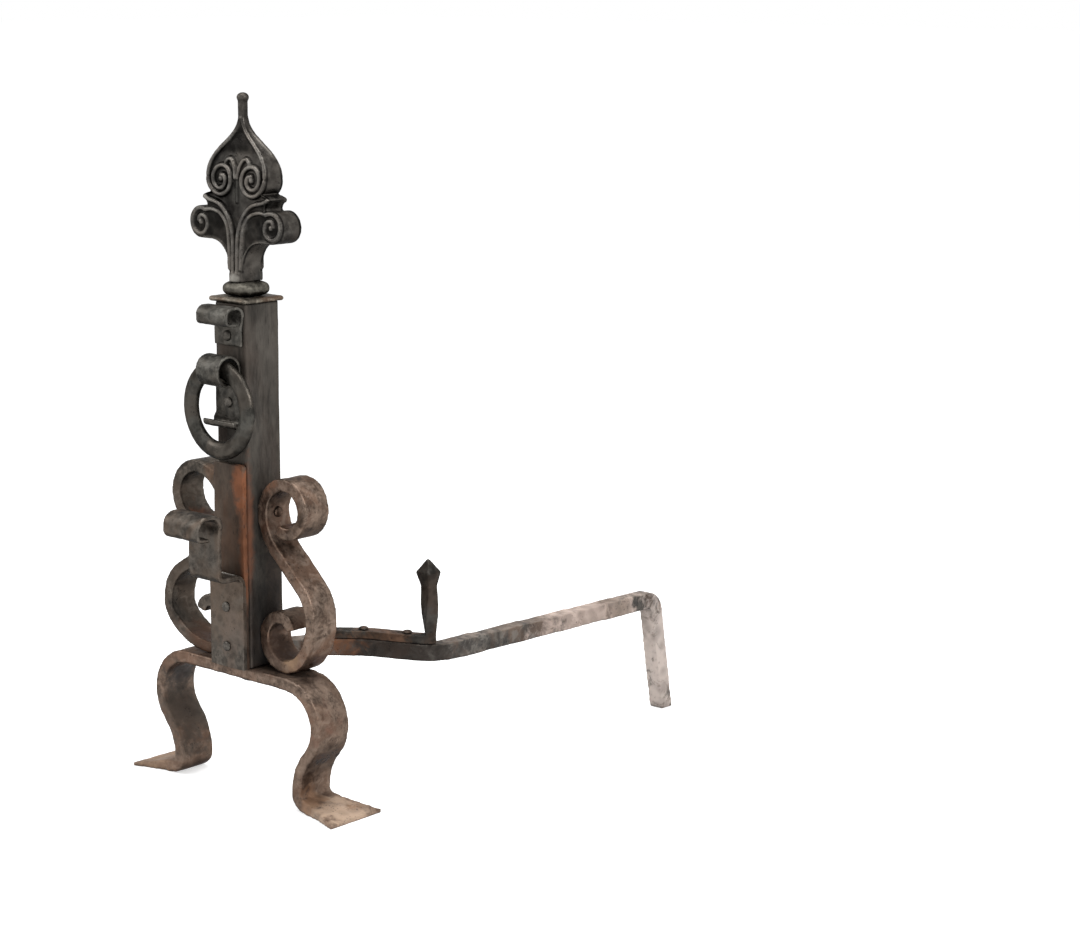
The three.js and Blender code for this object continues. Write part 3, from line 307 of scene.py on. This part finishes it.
finishes = {
    "finial": {"dark": (0.032, 0.030, 0.028), "light": (0.090, 0.085, 0.077), "patch": (0.070, 0.062, 0.054),
               "patchScale": 22.0, "grain": 1.0, "wearAndShade": (0.53, 0.64), "edge": (0.24, 0.22, 0.19), "rub": 0.45,
               "relief": (0.16, 1.85), "under": 0.5, "pitsAndShade": (0.008, 0.007, 0.006), "paintedShade": 0.9,
               "blotch": (0.034, 0.031, 0.028), "rough": (0.32, 0.52), "metal": 0.82, "bump": 0.45,
               # painted highlight: a pale patch on the small block at the front of the finial's foot
               "stainAndLightSpots": [{"spot": spot(0, -15.6, 491.5), "radius": 1.0, "stretch": (0.0095, 0.0045, 0.0055),
                           "colour": (0.34, 0.32, 0.285), "amount": 0.9, "ragged": 0.08}]},
    "collar": {"dark": (0.036, 0.033, 0.028), "light": (0.125, 0.116, 0.097), "grain": 1.0, "wearAndShade": (0.53, 0.64),
               "edge": (0.22, 0.20, 0.17), "rub": 0.5, "pitsAndShade": (0.012, 0.011, 0.010), "rough": (0.36, 0.55),
               "metal": 0.8, "bump": 0.4},
    "cap": {"dark": (0.060, 0.052, 0.042), "light": (0.17, 0.150, 0.122), "patch": (0.10, 0.066, 0.045), "patchScale": 30.0,
            "grain": 1.0, "wearAndShade": (0.52, 0.60), "edge": (0.40, 0.36, 0.30), "rub": 0.7, "pitsAndShade": (0.016, 0.013, 0.011),
            "rough": (0.38, 0.58), "metal": 0.7, "bump": 0.4},
    "post": {"dark": (0.032, 0.029, 0.026), "light": (0.078, 0.070, 0.061), "patch": (0.062, 0.044, 0.035),
             "patchScale": 20.0, "patchAmount": 0.5, "grain": 1.0, "streak": (1.0, 1.0, 0.22), "wearAndShade": (0.53, 0.62),
             "edge": (0.13, 0.112, 0.096), "rub": 0.35, "pitsAndShade": (0.010, 0.009, 0.008), "rough": (0.4, 0.62),
             "metal": 0.72, "bump": 0.35,
             "stainAndLightSpots": [
                 {"spot": spot(20, -22, 262), "radius": 1.0, "stretch": (0.0075, 0.011, 0.080), "ragged": 0.35,
                  "colour": (0.17, 0.066, 0.034), "amount": 0.7},
                 # painted shade: a near-black patch low on the post's right side, behind the right scroll
                 {"spot": spot(24, 0, 165), "radius": 1.0, "stretch": (0.02, 0.03, 0.08), "ragged": 0.5,
                  "colour": (0.018, 0.017, 0.017), "amount": 0.6}]},
    "strap": {"dark": (0.052, 0.040, 0.032), "light": (0.105, 0.080, 0.063), "patch": (0.095, 0.055, 0.037),
              "patchScale": 20.0, "patchAmount": 0.7, "grain": 1.0, "streak": (1.0, 1.0, 0.4), "wearAndShade": (0.53, 0.62),
              "edge": (0.16, 0.125, 0.10), "rub": 0.35, "pitsAndShade": (0.012, 0.010, 0.009), "rough": (0.42, 0.64),
              "metal": 0.6, "bump": 0.35,
              "stainAndLightSpots": [{"spot": spot(17, -27, 300), "radius": 1.0, "stretch": (0.016, 0.02, 0.030), "ragged": 0.5,
                          "colour": (0.24, 0.088, 0.040), "amount": 0.8},
                         {"spot": spot(21, -27, 240), "radius": 1.0, "stretch": (0.009, 0.02, 0.070), "ragged": 0.4,
                          "colour": (0.17, 0.066, 0.032), "amount": 0.8}]},
    "hooks": {"dark": (0.040, 0.038, 0.034), "light": (0.125, 0.118, 0.105), "patch": (0.070, 0.062, 0.053),
              "patchScale": 30.0, "grain": 1.0, "wearAndShade": (0.53, 0.63), "edge": (0.26, 0.245, 0.215), "rub": 0.5,
              "blotch": (0.034, 0.033, 0.030), "relief": (0.75, 1.15), "pitsAndShade": (0.012, 0.011, 0.010), "rough": (0.36, 0.56), "metal": 0.78, "bump": 0.6},
    "bracket": {"dark": (0.042, 0.037, 0.032), "light": (0.112, 0.098, 0.084), "patch": (0.095, 0.070, 0.053),
                "patchScale": 18.0, "grain": 1.0, "wearAndShade": (0.53, 0.62), "edge": (0.22, 0.195, 0.165), "rub": 0.5,
                "relief": (0.82, 1.12), "pitsAndShade": (0.012, 0.011, 0.010), "rough": (0.34, 0.54), "metal": 0.74, "bump": 0.55,
                # painted highlight: a pale glint along the top of the shelf's bend
                "stainAndLightSpots": [{"spot": spot(0, -33, 219.5), "radius": 1.0, "stretch": (0.024, 0.007, 0.003),
                            "colour": (0.46, 0.44, 0.40), "amount": 0.75, "ragged": 0.4},
                           {"spot": spot(6, -30, 165), "radius": 1.0, "stretch": (0.022, 0.01, 0.040),
                            "colour": (0.13, 0.098, 0.078), "amount": 0.5, "ragged": 0.8}]},
    "ring": {"dark": (0.030, 0.029, 0.026), "light": (0.066, 0.063, 0.056), "patch": (0.058, 0.050, 0.042),
             "patchScale": 34.0, "grain": 1.1, "wearAndShade": (0.53, 0.63), "edge": (0.15, 0.14, 0.12), "rub": 0.4,
             "relief": (0.75, 1.2), "pitsAndShade": (0.010, 0.010, 0.009), "rough": (0.34, 0.52), "metal": 0.82, "bump": 0.45},
    "scrollRight": {"dark": (0.066, 0.046, 0.035), "light": (0.190, 0.138, 0.106), "patch": (0.150, 0.088, 0.060),
                    "blotch": (0.26, 0.196, 0.156), "blotchScale": 85.0, "blotchAmount": 0.5, "patchScale": 24.0, "patchAmount": 0.7, "grain": 1.0, "wearAndShade": (0.53, 0.63), "edge": (0.30, 0.235, 0.19),
                    "rub": 0.25, "pitsAndShade": (0.014, 0.010, 0.009), "rough": (0.3, 0.5), "metal": 0.72, "bump": 0.5,
                    "stainAndLightSpots": [
                        # dark brown inside the lower curl, partly rust and partly painted shade
                        {"spot": spot(48, 3, 148), "radius": 0.030, "colour": (0.062, 0.036, 0.025), "amount": 0.85,
                         "ragged": 0.4},
                        # rusty tan at the bottom of the lower curl's inside, partly rust and partly painted highlight
                        {"spot": spot(62, -8, 140), "radius": 0.016, "colour": (0.30, 0.195, 0.12), "amount": 0.7,
                         "ragged": 0.5},
                        {"spot": spot(36, -18, 306), "radius": 0.020, "colour": (0.19, 0.088, 0.048), "amount": 0.7,
                         "ragged": 0.5},
                        {"spot": spot(56, 5, 264), "radius": 0.017, "colour": rustBrown, "amount": 0.7, "ragged": 0.5}]},
    "scrollLeft": {"dark": (0.032, 0.028, 0.024), "light": (0.098, 0.083, 0.069), "patch": (0.064, 0.048, 0.037),
                   "blotch": (0.15, 0.126, 0.104), "blotchScale": 85.0, "blotchAmount": 0.45, "patchScale": 24.0, "grain": 1.0, "wearAndShade": (0.53, 0.63), "edge": (0.22, 0.175, 0.14), "rub": 0.35,
                   "pitsAndShade": (0.012, 0.010, 0.009), "rough": (0.3, 0.5), "metal": 0.72, "bump": 0.5,
                   "stainAndLightSpots": [{"spot": spot(-62, 3, 140), "radius": 0.035, "colour": rustBrown, "amount": 0.5},
                              {"spot": spot(-36, -16, 312), "radius": 0.022, "colour": (0.19, 0.105, 0.062), "amount": 0.6},
                              {"spot": spot(-66, 0, 268), "radius": 0.022, "colour": rustOrange, "amount": 0.35}]},
    "foot": {"dark": (0.062, 0.044, 0.034), "light": (0.180, 0.130, 0.100), "patch": (0.140, 0.083, 0.057),
             "blotch": (0.25, 0.185, 0.145), "blotchScale": 80.0, "blotchAmount": 0.5, "patchScale": 22.0, "patchAmount": 0.7, "grain": 1.0, "wearAndShade": (0.53, 0.63), "edge": (0.30, 0.235, 0.19),
             "rub": 0.25, "pitsAndShade": (0.014, 0.010, 0.009), "rough": (0.32, 0.54), "metal": 0.68, "bump": 0.5,
             "stainAndLightSpots": [{"spot": spot(120, 0, 4), "radius": 1.0, "stretch": (0.040, 0.05, 0.022), "colour": toeTan,
                         "amount": 0.9, "ragged": 0.6},
                        {"spot": spot(-124, 0, 4), "radius": 1.0, "stretch": (0.036, 0.05, 0.018), "colour": (0.30, 0.20, 0.135),
                         "amount": 0.9, "ragged": 0.4},
                        {"spot": spot(92, -12, 12), "radius": 0.018, "colour": (0.19, 0.105, 0.060), "amount": 0.7,
                         "ragged": 0.7},
                        {"spot": spot(122, 16, 3), "radius": 0.012, "colour": (0.20, 0.115, 0.070), "amount": 0.7,
                         "ragged": 0.8},
                        {"spot": spot(84, 0, 84), "radius": 0.030, "colour": (0.19, 0.095, 0.065), "amount": 0.5, "ragged": 0.6},
                        {"spot": spot(-96, 2, 92), "radius": 0.026, "colour": (0.045, 0.047, 0.052), "amount": 0.7},
                        {"spot": spot(-95, 0, 60), "radius": 1.0, "stretch": (0.035, 0.05, 0.050),
                         "colour": (0.066, 0.056, 0.047), "amount": 0.7, "ragged": 0.5}]},
    "bar": {"dark": (0.040, 0.037, 0.034), "light": (0.120, 0.108, 0.096), "patch": (0.125, 0.074, 0.050), "patchScale": 34.0,
            "patchAmount": 0.5, "grain": 1.0, "wearAndShade": (0.53, 0.63), "edge": (0.30, 0.26, 0.225), "rub": 0.4,
            "relief": (0.72, 1.2), "pitsAndShade": (0.014, 0.013, 0.012), "rough": (0.5, 0.75), "metal": 0.35, "bump": 0.8,
            "blotch": (0.17, 0.155, 0.138), "blotchScale": 95.0, "blotchAmount": 0.6, "ash": (0.20, 0.165, 0.140),
            "ashAmount": 0.3,
            "stainAndLightSpots": [
                {"spot": spot(60, 120, 126), "radius": 1.0, "stretch": (0.10, 0.085, 0.04), "colour": (0.034, 0.027, 0.023),
                 "amount": 0.75, "ragged": 0.4},
                {"spot": spot(48, 66, 122), "radius": 0.034, "colour": (0.20, 0.082, 0.038), "amount": 0.65, "ragged": 0.6},
                {"spot": spot(84, 140, 120), "radius": 0.020, "colour": (0.17, 0.085, 0.048), "amount": 0.6, "ragged": 0.7},
                {"spot": spot(108, 350, 120), "radius": 1.0, "stretch": (0.06, 0.100, 0.06), "colour": (0.47, 0.375, 0.325),
                 "amount": 0.92, "ragged": 0.5},
                {"spot": spot(108, 470, 60), "radius": 1.0, "stretch": (0.06, 0.06, 0.11), "colour": (0.50, 0.43, 0.39),
                 "amount": 0.85, "ragged": 0.7},
                {"spot": spot(114, 392, 126), "radius": 0.024, "colour": (0.16, 0.125, 0.10), "amount": 0.75, "ragged": 0.8}]},
    "guard": {"dark": (0.020, 0.019, 0.017), "light": (0.050, 0.046, 0.041), "patch": (0.044, 0.032, 0.025),
              "patchScale": 30.0, "grain": 1.0, "wearAndShade": (0.53, 0.63), "edge": (0.13, 0.112, 0.096), "rub": 0.4,
              "relief": (0.75, 1.2), "pitsAndShade": (0.010, 0.009, 0.008), "rough": (0.4, 0.6), "metal": 0.7, "bump": 0.5,
              "stainAndLightSpots": [{"spot": spot(56, 130, 138), "radius": 1.0, "stretch": (0.06, 0.06, 0.02),
                          "colour": (0.13, 0.072, 0.045), "amount": 0.8, "ragged": 0.5}]},
    "rivets": {"dark": (0.052, 0.047, 0.042), "light": (0.14, 0.126, 0.11), "grain": 1.2, "wearAndShade": (0.53, 0.63),
               "edge": (0.28, 0.255, 0.22), "rub": 0.5, "pitsAndShade": (0.016, 0.014, 0.013), "rough": (0.38, 0.56),
               "metal": 0.7, "bump": 0.3},
}
materials = {name: ironFinish(name + "Iron", look) for name, look in finishes.items()}
print("finishes mixed:", len(materials))


# a forged copy of a node: edges rounded, faces hammered, all inside the node's own box
def meshPoints(mesh):
    points = np.empty(len(mesh.vertices) * 3, np.float32)
    mesh.vertices.foreach_get("co", points)
    return points.reshape(-1, 3).astype(float)


def meshNormals(mesh):
    normals = np.empty(len(mesh.vertices) * 3, np.float32)
    mesh.vertices.foreach_get("normal", normals)
    return normals.reshape(-1, 3).astype(float)


def setPoints(mesh, points):
    mesh.vertices.foreach_set("co", points.astype(np.float32).ravel())
    mesh.update()


def remeshed(name, source, voxel, soften):
    rough = bpy.data.objects.new(name + "Rough", source.copy())
    bpy.context.collection.objects.link(rough)
    grid = rough.modifiers.new("grid", "REMESH")
    grid.mode = "VOXEL"
    grid.voxel_size = voxel * mm
    grid.use_smooth_shade = True
    smooth = rough.modifiers.new("soften", "SMOOTH")
    smooth.factor, smooth.iterations = 0.5, soften
    view = bpy.context.evaluated_depsgraph_get()
    mesh = bpy.data.meshes.new_from_object(rough.evaluated_get(view))
    bpy.data.objects.remove(rough)
    mesh.name = name
    return mesh


def hammered(mesh, look, seed):
    points = meshPoints(mesh)
    normals = meshNormals(mesh)
    shift = Vector((seed * 1.7, seed * 0.9, seed * 2.3))
    push = np.empty(len(points))
    for i, point in enumerate(points):
        p = Vector(point)
        wave = noise.noise(p * look.get("waveScale", 22) + shift)
        fine = noise.noise(p * 140 + shift)
        near = noise.voronoi(p * look["dentScale"] + shift)[0]
        dent = min(1.0, near[0] / 0.62) ** 2 - 0.55
        push[i] = look["wave"] * wave + look["dent"] * dent + look.get("fine", 0.06) * fine
    relief = np.clip(0.5 + (push - push.mean()) / (4 * push.std() + 1e-6), 0, 1)
    return points + normals * (push * mm)[:, None], relief


def forged(node, body, finish, look, seed):
    name = node + ".forged"
    mesh = remeshed(name, nodes[node].data, look["voxel"], look["soften"])
    low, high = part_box(node)
    if "shape" in look:
        setPoints(mesh, look["shape"](meshPoints(mesh)))
        mesh = remeshed(name, mesh, look["voxel"], 1)
    points, relief = hammered(mesh, look, seed)
    if "crown" in look:
        relief = 0.3 * relief + 0.7 * look["crown"](points)
    setPoints(mesh, np.clip(points, np.array(low), np.array(high)))
    mesh.attributes.new("relief", "FLOAT", "POINT").data.foreach_set("value", relief.astype(np.float32))
    mesh.materials.clear()
    mesh.materials.append(materials[finish])
    for face in mesh.polygons:
        face.use_smooth = True
    piece = bpy.data.objects.new(name, mesh)
    bpy.context.collection.objects.link(piece)
    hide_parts(node)
    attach(piece, body)
    return piece


# carving of the finial: ridges stand on its two faces, and the ground between them is cut back
# a ridge has its half width, and its height over the face
carving = {
    "spade": (40.5, 585), "neck": (3.4, 637), "rim": 2.4, "field": 3.1, "ground": 1.5,
    "depth": (27, 22.5, 7.4), "top": (604, 613), "edge": (0.2, 1.1),
    "spiral": {"at": (20.6, 581.5), "outer": 14.2, "turn": 620, "start": 0, "lead": 3.3, "half": 2.5, "over": 1.0},
    "scroll": {"at": (47.5, 540.5), "outer": 12.7, "turn": 450, "start": 118, "lead": 0, "half": 2.35, "over": 1.0},
    "leaf": {"points": [(2.6, 497), (3, 526.5), (6.5, 541.5), (13, 551.5), (23, 559), (36, 562), (42.5, 564.5)],
             "half": 2.3, "over": 1.9},
    "band": {"points": [(7, 500), (8.5, 522.5), (11, 539), (20, 549.5), (32, 553), (41.6, 551.6)],
             "half": 2.2, "over": 1.5},
    "curl": {"points": [(1.5, 583), (3.2, 592), (7.2, 598.5), (12, 600), (15.8, 597)], "half": 2.1, "over": 0.5},
    "vein": {"points": [(0, 562), (0, 592)], "half": 2.4, "over": -1.6},
}


def smoothly(value):
    value = np.clip(value, 0, 1)
    return value * value * (3 - 2 * value)


def halfDepth(z):  # the finial is thick at its stem and thin at its neck
    stem, spade, neck = carving["depth"]
    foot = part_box("collar")[1].z / mm
    wideZ, neckZ = carving["spade"][1], carving["neck"][1]
    wide = stem + (spade - stem) * np.clip((z - foot) / (wideZ - foot), 0, 1)
    return (wide + (neck - wide) * smoothly((z - wideZ + 8) / (neckZ - wideZ + 8))) / 2


def spiralPoints(look, count=220, least=3.4):
    t = np.linspace(0, 1, count)
    radius = least + (look["outer"] - least) * (1 - t ** 2) + look["lead"] * np.exp(-t / 0.06)
    angle = np.radians(look["start"] - look["turn"] * t)
    x, z = look["at"]
    return np.stack([x + radius * np.cos(angle), z + radius * np.sin(angle)], 1)


def curvePoints(points):
    knots = [Vector((x, z, 0)) for x, z in points]
    out = []
    for i in range(len(knots) - 1):
        a, b = knots[i], knots[i + 1]
        steps = max(2, math.ceil((b - a).length / 0.4))
        before = knots[i - 1] if i else a - (b - a)
        after = knots[i + 2] if i + 2 < len(knots) else b + (b - a)
        for k in range(steps):
            t = k / steps
            bend = 2 * a + (b - before) * t + (2 * before - 5 * a + 4 * b - after) * t * t
            out.append((bend + (3 * a - before - 3 * b + after) * t ** 3) / 2)
    out.append(knots[-1])
    return np.array([(q.x, q.y) for q in out])


def rimPoints():
    (half, wide), (neckX, neckZ), inset = carving["spade"], carving["neck"], carving["rim"]
    t = np.linspace(0, 1, 160)[:, None]
    corners = np.array([(half - inset, wide), (half - inset, wide + 25), (neckX + 2.6 - inset * 0.4, neckZ - 22),
                        (neckX - inset, neckZ)])
    return np.hstack([(1 - t) ** 3, 3 * t * (1 - t) ** 2, 3 * t ** 2 * (1 - t), t ** 3]) @ corners


def awayFrom(flat, line):  # distance of each place on the face to a line drawn on it
    away = np.empty(len(flat))
    for start in range(0, len(flat), 4000):
        gap = np.linalg.norm(flat[start:start + 4000, None] - line[None], axis=2)
        away[start:start + 4000] = gap.min(1)
    return away


def carvedHeight(flat, edge):  # height over the face, and how much of it is ridge
    leafLine = curvePoints(carving["leaf"]["points"])
    over = flat[:, 1] - np.interp(flat[:, 0], leafLine[:, 0], leafLine[:, 1])
    ground = -carving["ground"] * smoothly(edge / 3)
    ground += (-carving["field"] - ground) * smoothly(over / 1.5) * smoothly(edge / 1.5)
    height, ridge = ground.copy(), np.zeros(len(flat))
    lines = [(rimPoints(), 2.4, 1.0)]
    lines += [(spiralPoints(carving[k]), carving[k]["half"], carving[k]["over"]) for k in ("spiral", "scroll")]
    lines += [(curvePoints(carving[k]["points"]), carving[k]["half"], carving[k]["over"])
              for k in ("leaf", "band", "curl", "vein")]
    for line, half, top in lines:
        share = np.sqrt(np.clip(1 - (awayFrom(flat, line) / half) ** 2, 0, 1))
        height = np.maximum(height, ground + (top - ground) * share)
        ridge = np.maximum(ridge, share * (top > 0) + 0.4 * share * (top <= 0))
    for at in (carving["spiral"]["at"], carving["scroll"]["at"]):  # a bead in the eye of each spiral
        share = np.sqrt(np.clip(1 - (np.hypot(flat[:, 0] - at[0], flat[:, 1] - at[1]) / 3.1) ** 2, 0, 1))
        height = np.maximum(height, ground + (1.0 - ground) * share)
        ridge = np.maximum(ridge, share)
    return height, ridge


def onFace(points):
    flat = np.stack([np.abs(points[:, 0] - postX), points[:, 2]], 1) / mm
    deep = np.abs(points[:, 1] - postY) / mm
    half = halfDepth(flat[:, 1])
    return flat, deep, half


def carve(points):
    flat, deep, half = onFace(points)
    wall = (deep < 0.5 * half) & (flat[:, 1] > 494) & (flat[:, 1] < 616)
    tree = kdtree.KDTree(int(wall.sum()))
    for number, (x, z) in enumerate(flat[wall]):
        tree.insert((x, 0, z), number)
    tree.balance()
    face = np.nonzero((deep > half - 4.6) & (flat[:, 1] > 497) & (flat[:, 1] < carving["top"][1]))[0]
    edge = np.array([tree.find((flat[i, 0], 0, flat[i, 1]))[2] for i in face])
    height, ridge = carvedHeight(flat[face], edge)
    low, high = carving["top"]
    share = smoothly((edge - carving["edge"][0]) / carving["edge"][1])
    share *= smoothly((high - flat[face, 1]) / (high - low)) * smoothly((flat[face, 1] - 497) / 3)
    moved = points.copy()
    target = deep[face] + (half[face] + height - deep[face]) * share
    moved[face, 1] = postY + np.sign(points[face, 1] - postY) * target * mm
    return moved


def crown(points):  # ridges lightened as painted highlight and rubbed wear, the ground beside them darkened as painted shade
    flat, deep, half = onFace(points)
    height, ridge = carvedHeight(flat, np.full(len(flat), 9.0))
    face = smoothly((deep - half + 3.6) / 1.0) * smoothly((flat[:, 1] - 496) / 2) * smoothly((636 - flat[:, 1]) / 16)
    sunk = smoothly((half + 0.3 - deep) / 2.4)
    return 0.5 + face * (0.5 * smoothly((ridge - 0.45) / 0.5) - 0.5 * sunk * (1 - ridge))


def bulge(points):  # the collar is drawn in above and below its middle
    low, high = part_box("collar")
    level = np.abs(2 * (points[:, 2] - low.z) / (high.z - low.z) - 1)
    keep = 1 - 0.16 * level ** 3
    moved = points.copy()
    moved[:, 0] = postX + (points[:, 0] - postX) * keep
    moved[:, 1] = postY + (points[:, 1] - postY) * keep
    return moved


barLook = {"voxel": 1.5, "soften": 3, "wave": 0.35, "dent": 0.4, "dentScale": 80}
plateLook = {"voxel": 0.9, "soften": 2, "wave": 0.15, "dent": 0.26, "dentScale": 120}
pieces = [
    ("foot_arch", "body", "brown_iron", "foot", {**barLook, "voxel": 1.7}),
    ("post", "body", "post_iron", "post", {**barLook, "voxel": 1.8, "soften": 2, "wave": 0.25, "dent": 0.18, "dentScale": 55}),
    ("scroll_left", "body", "brown_iron", "scrollLeft", {**barLook, "voxel": 1.4}),
    ("scroll_right", "body", "brown_iron", "scrollRight", {**barLook, "voxel": 1.4}),
    ("billet_bar", "body", "ash_iron", "bar", {**barLook, "voxel": 1.5, "wave": 0.5, "dent": 0.3, "fine": 0.12}),
    ("front_strap", "body", "post_iron", "strap", {**barLook, "voxel": 1.4, "soften": 2, "wave": 0.25, "dent": 0.2}),
    ("hook_bracket", "body", "worn_iron", "bracket", {**plateLook, "voxel": 1.1}),
    ("upper_hook", "body", "worn_iron", "hooks", plateLook),
    ("ring_strap", "body", "worn_iron", "hooks", plateLook),
    ("ring", "ring", "black_iron", "ring", {"voxel": 1.0, "soften": 4, "wave": 0.12, "dent": 0.12, "dentScale": 90}),
    ("cap_plate", "body", "worn_iron", "cap", {**plateLook, "voxel": 0.9}),
    ("collar", "body", "black_iron", "collar", {**plateLook, "voxel": 0.8, "soften": 6, "shape": bulge}),
    ("guard", "body", "black_iron", "guard", {**plateLook, "voxel": 0.9, "dent": 0.2}),
    ("finial", "body", "black_iron", "finial",
     {"voxel": 0.71, "soften": 2, "wave": 0.12, "dent": 0.08, "dentScale": 110, "shape": carve, "crown": crown}),
]
for number, (node, body, slot, finish, look) in enumerate(pieces):
    piece = forged(node, body, finish, look, number + 3)
    print("forged", node, len(piece.data.polygons), "faces")
rivetLook = {"voxel": 0.6, "soften": 2, "wave": 0.1, "dent": 0.12, "dentScale": 260}
rivetFinish = {"guard": "guard", "scroll": "scrollRight", "upper": "hooks"}  # the rest are bright
for number, node in enumerate(n for n in nodes if "rivet" in n):
    forged(node, "body", rivetFinish.get(node.split("_")[0], "rivets"), rivetLook, number + 40)
print("rivets set")


# floor, lamps and sky
room = {"floor": 0.80, "lift": 0.58, "sky": 0.55}


def addFloor():
    mesh = bpy.data.meshes.new("floor")
    reach = 30
    mesh.from_pydata([(-reach, -reach, 0), (reach, -reach, 0), (reach, reach, 0), (-reach, reach, 0)], [], [(0, 1, 2, 3)])
    floor = bpy.data.objects.new("floor", mesh)
    floor.location.z = -0.0004
    bpy.context.collection.objects.link(floor)
    material = bpy.data.materials.new("paleFloor")
    material.use_nodes = True
    tree = material.node_tree
    tree.nodes.clear()
    path = put(tree, "ShaderNodeLightPath")
    seen = sums(tree, "ADD", path.outputs["Is Camera Ray"], path.outputs["Is Glossy Ray"], clamp=True)
    seen = sums(tree, "ADD", seen, path.outputs["Is Transmission Ray"], clamp=True)
    grey = room["floor"]
    base = put(tree, "ShaderNodeBsdfDiffuse", None, Color=(grey, grey, grey, 1))
    glow = put(tree, "ShaderNodeEmission", None, Strength=sums(tree, "MULTIPLY", seen, room["lift"]))
    both = put(tree, "ShaderNodeAddShader", None, **{"0": base.outputs[0], "1": glow.outputs[0]})
    out = put(tree, "ShaderNodeOutputMaterial")
    tree.links.new(both.outputs[0], out.inputs["Surface"])
    mesh.materials.append(material)


def addSky():
    world = bpy.data.worlds.new("sky")
    world.use_nodes = True
    tree = world.node_tree
    tree.nodes.clear()
    path = put(tree, "ShaderNodeLightPath")
    seen = sums(tree, "ADD", path.outputs["Is Camera Ray"], path.outputs["Is Glossy Ray"], clamp=True)
    seen = sums(tree, "ADD", seen, path.outputs["Is Transmission Ray"], clamp=True)
    strength = span(tree, seen, 0.0, 1.0, room["sky"], 1.0)
    light = put(tree, "ShaderNodeBackground", None, Color=(1, 1, 1, 1), Strength=strength)
    out = put(tree, "ShaderNodeOutputWorld")
    tree.links.new(light.outputs[0], out.inputs["Surface"])
    bpy.context.scene.world = world


lamps = {
    "top": {"at": (0, 0, 1900), "aim": (0, 80, 200), "size": (1.1, 1.1), "power": 24},
    "left": {"at": (-1100, -1200, 1300), "aim": (0, 0, 300), "size": (0.7, 0.9), "power": 12},
    "right": {"at": (1500, 100, 1300), "aim": (0, 0, 300), "size": (0.5, 0.8), "power": 17},
}


def addLamp(name, look):
    data = bpy.data.lights.new(name, "AREA")
    data.shape = "RECTANGLE"
    data.size, data.size_y = look["size"]
    data.energy = look["power"]
    lamp = bpy.data.objects.new(name, data)
    start, aim = spot(*look["at"]), spot(*look["aim"])
    lamp.location = start
    lamp.rotation_mode = "QUATERNION"
    lamp.rotation_quaternion = (aim - start).to_track_quat("-Z", "Y")
    bpy.context.collection.objects.link(lamp)


addFloor()
addSky()
for name, look in lamps.items():
    addLamp(name, look)
bpy.context.scene.view_settings.view_transform = "Standard"
print("room lit")
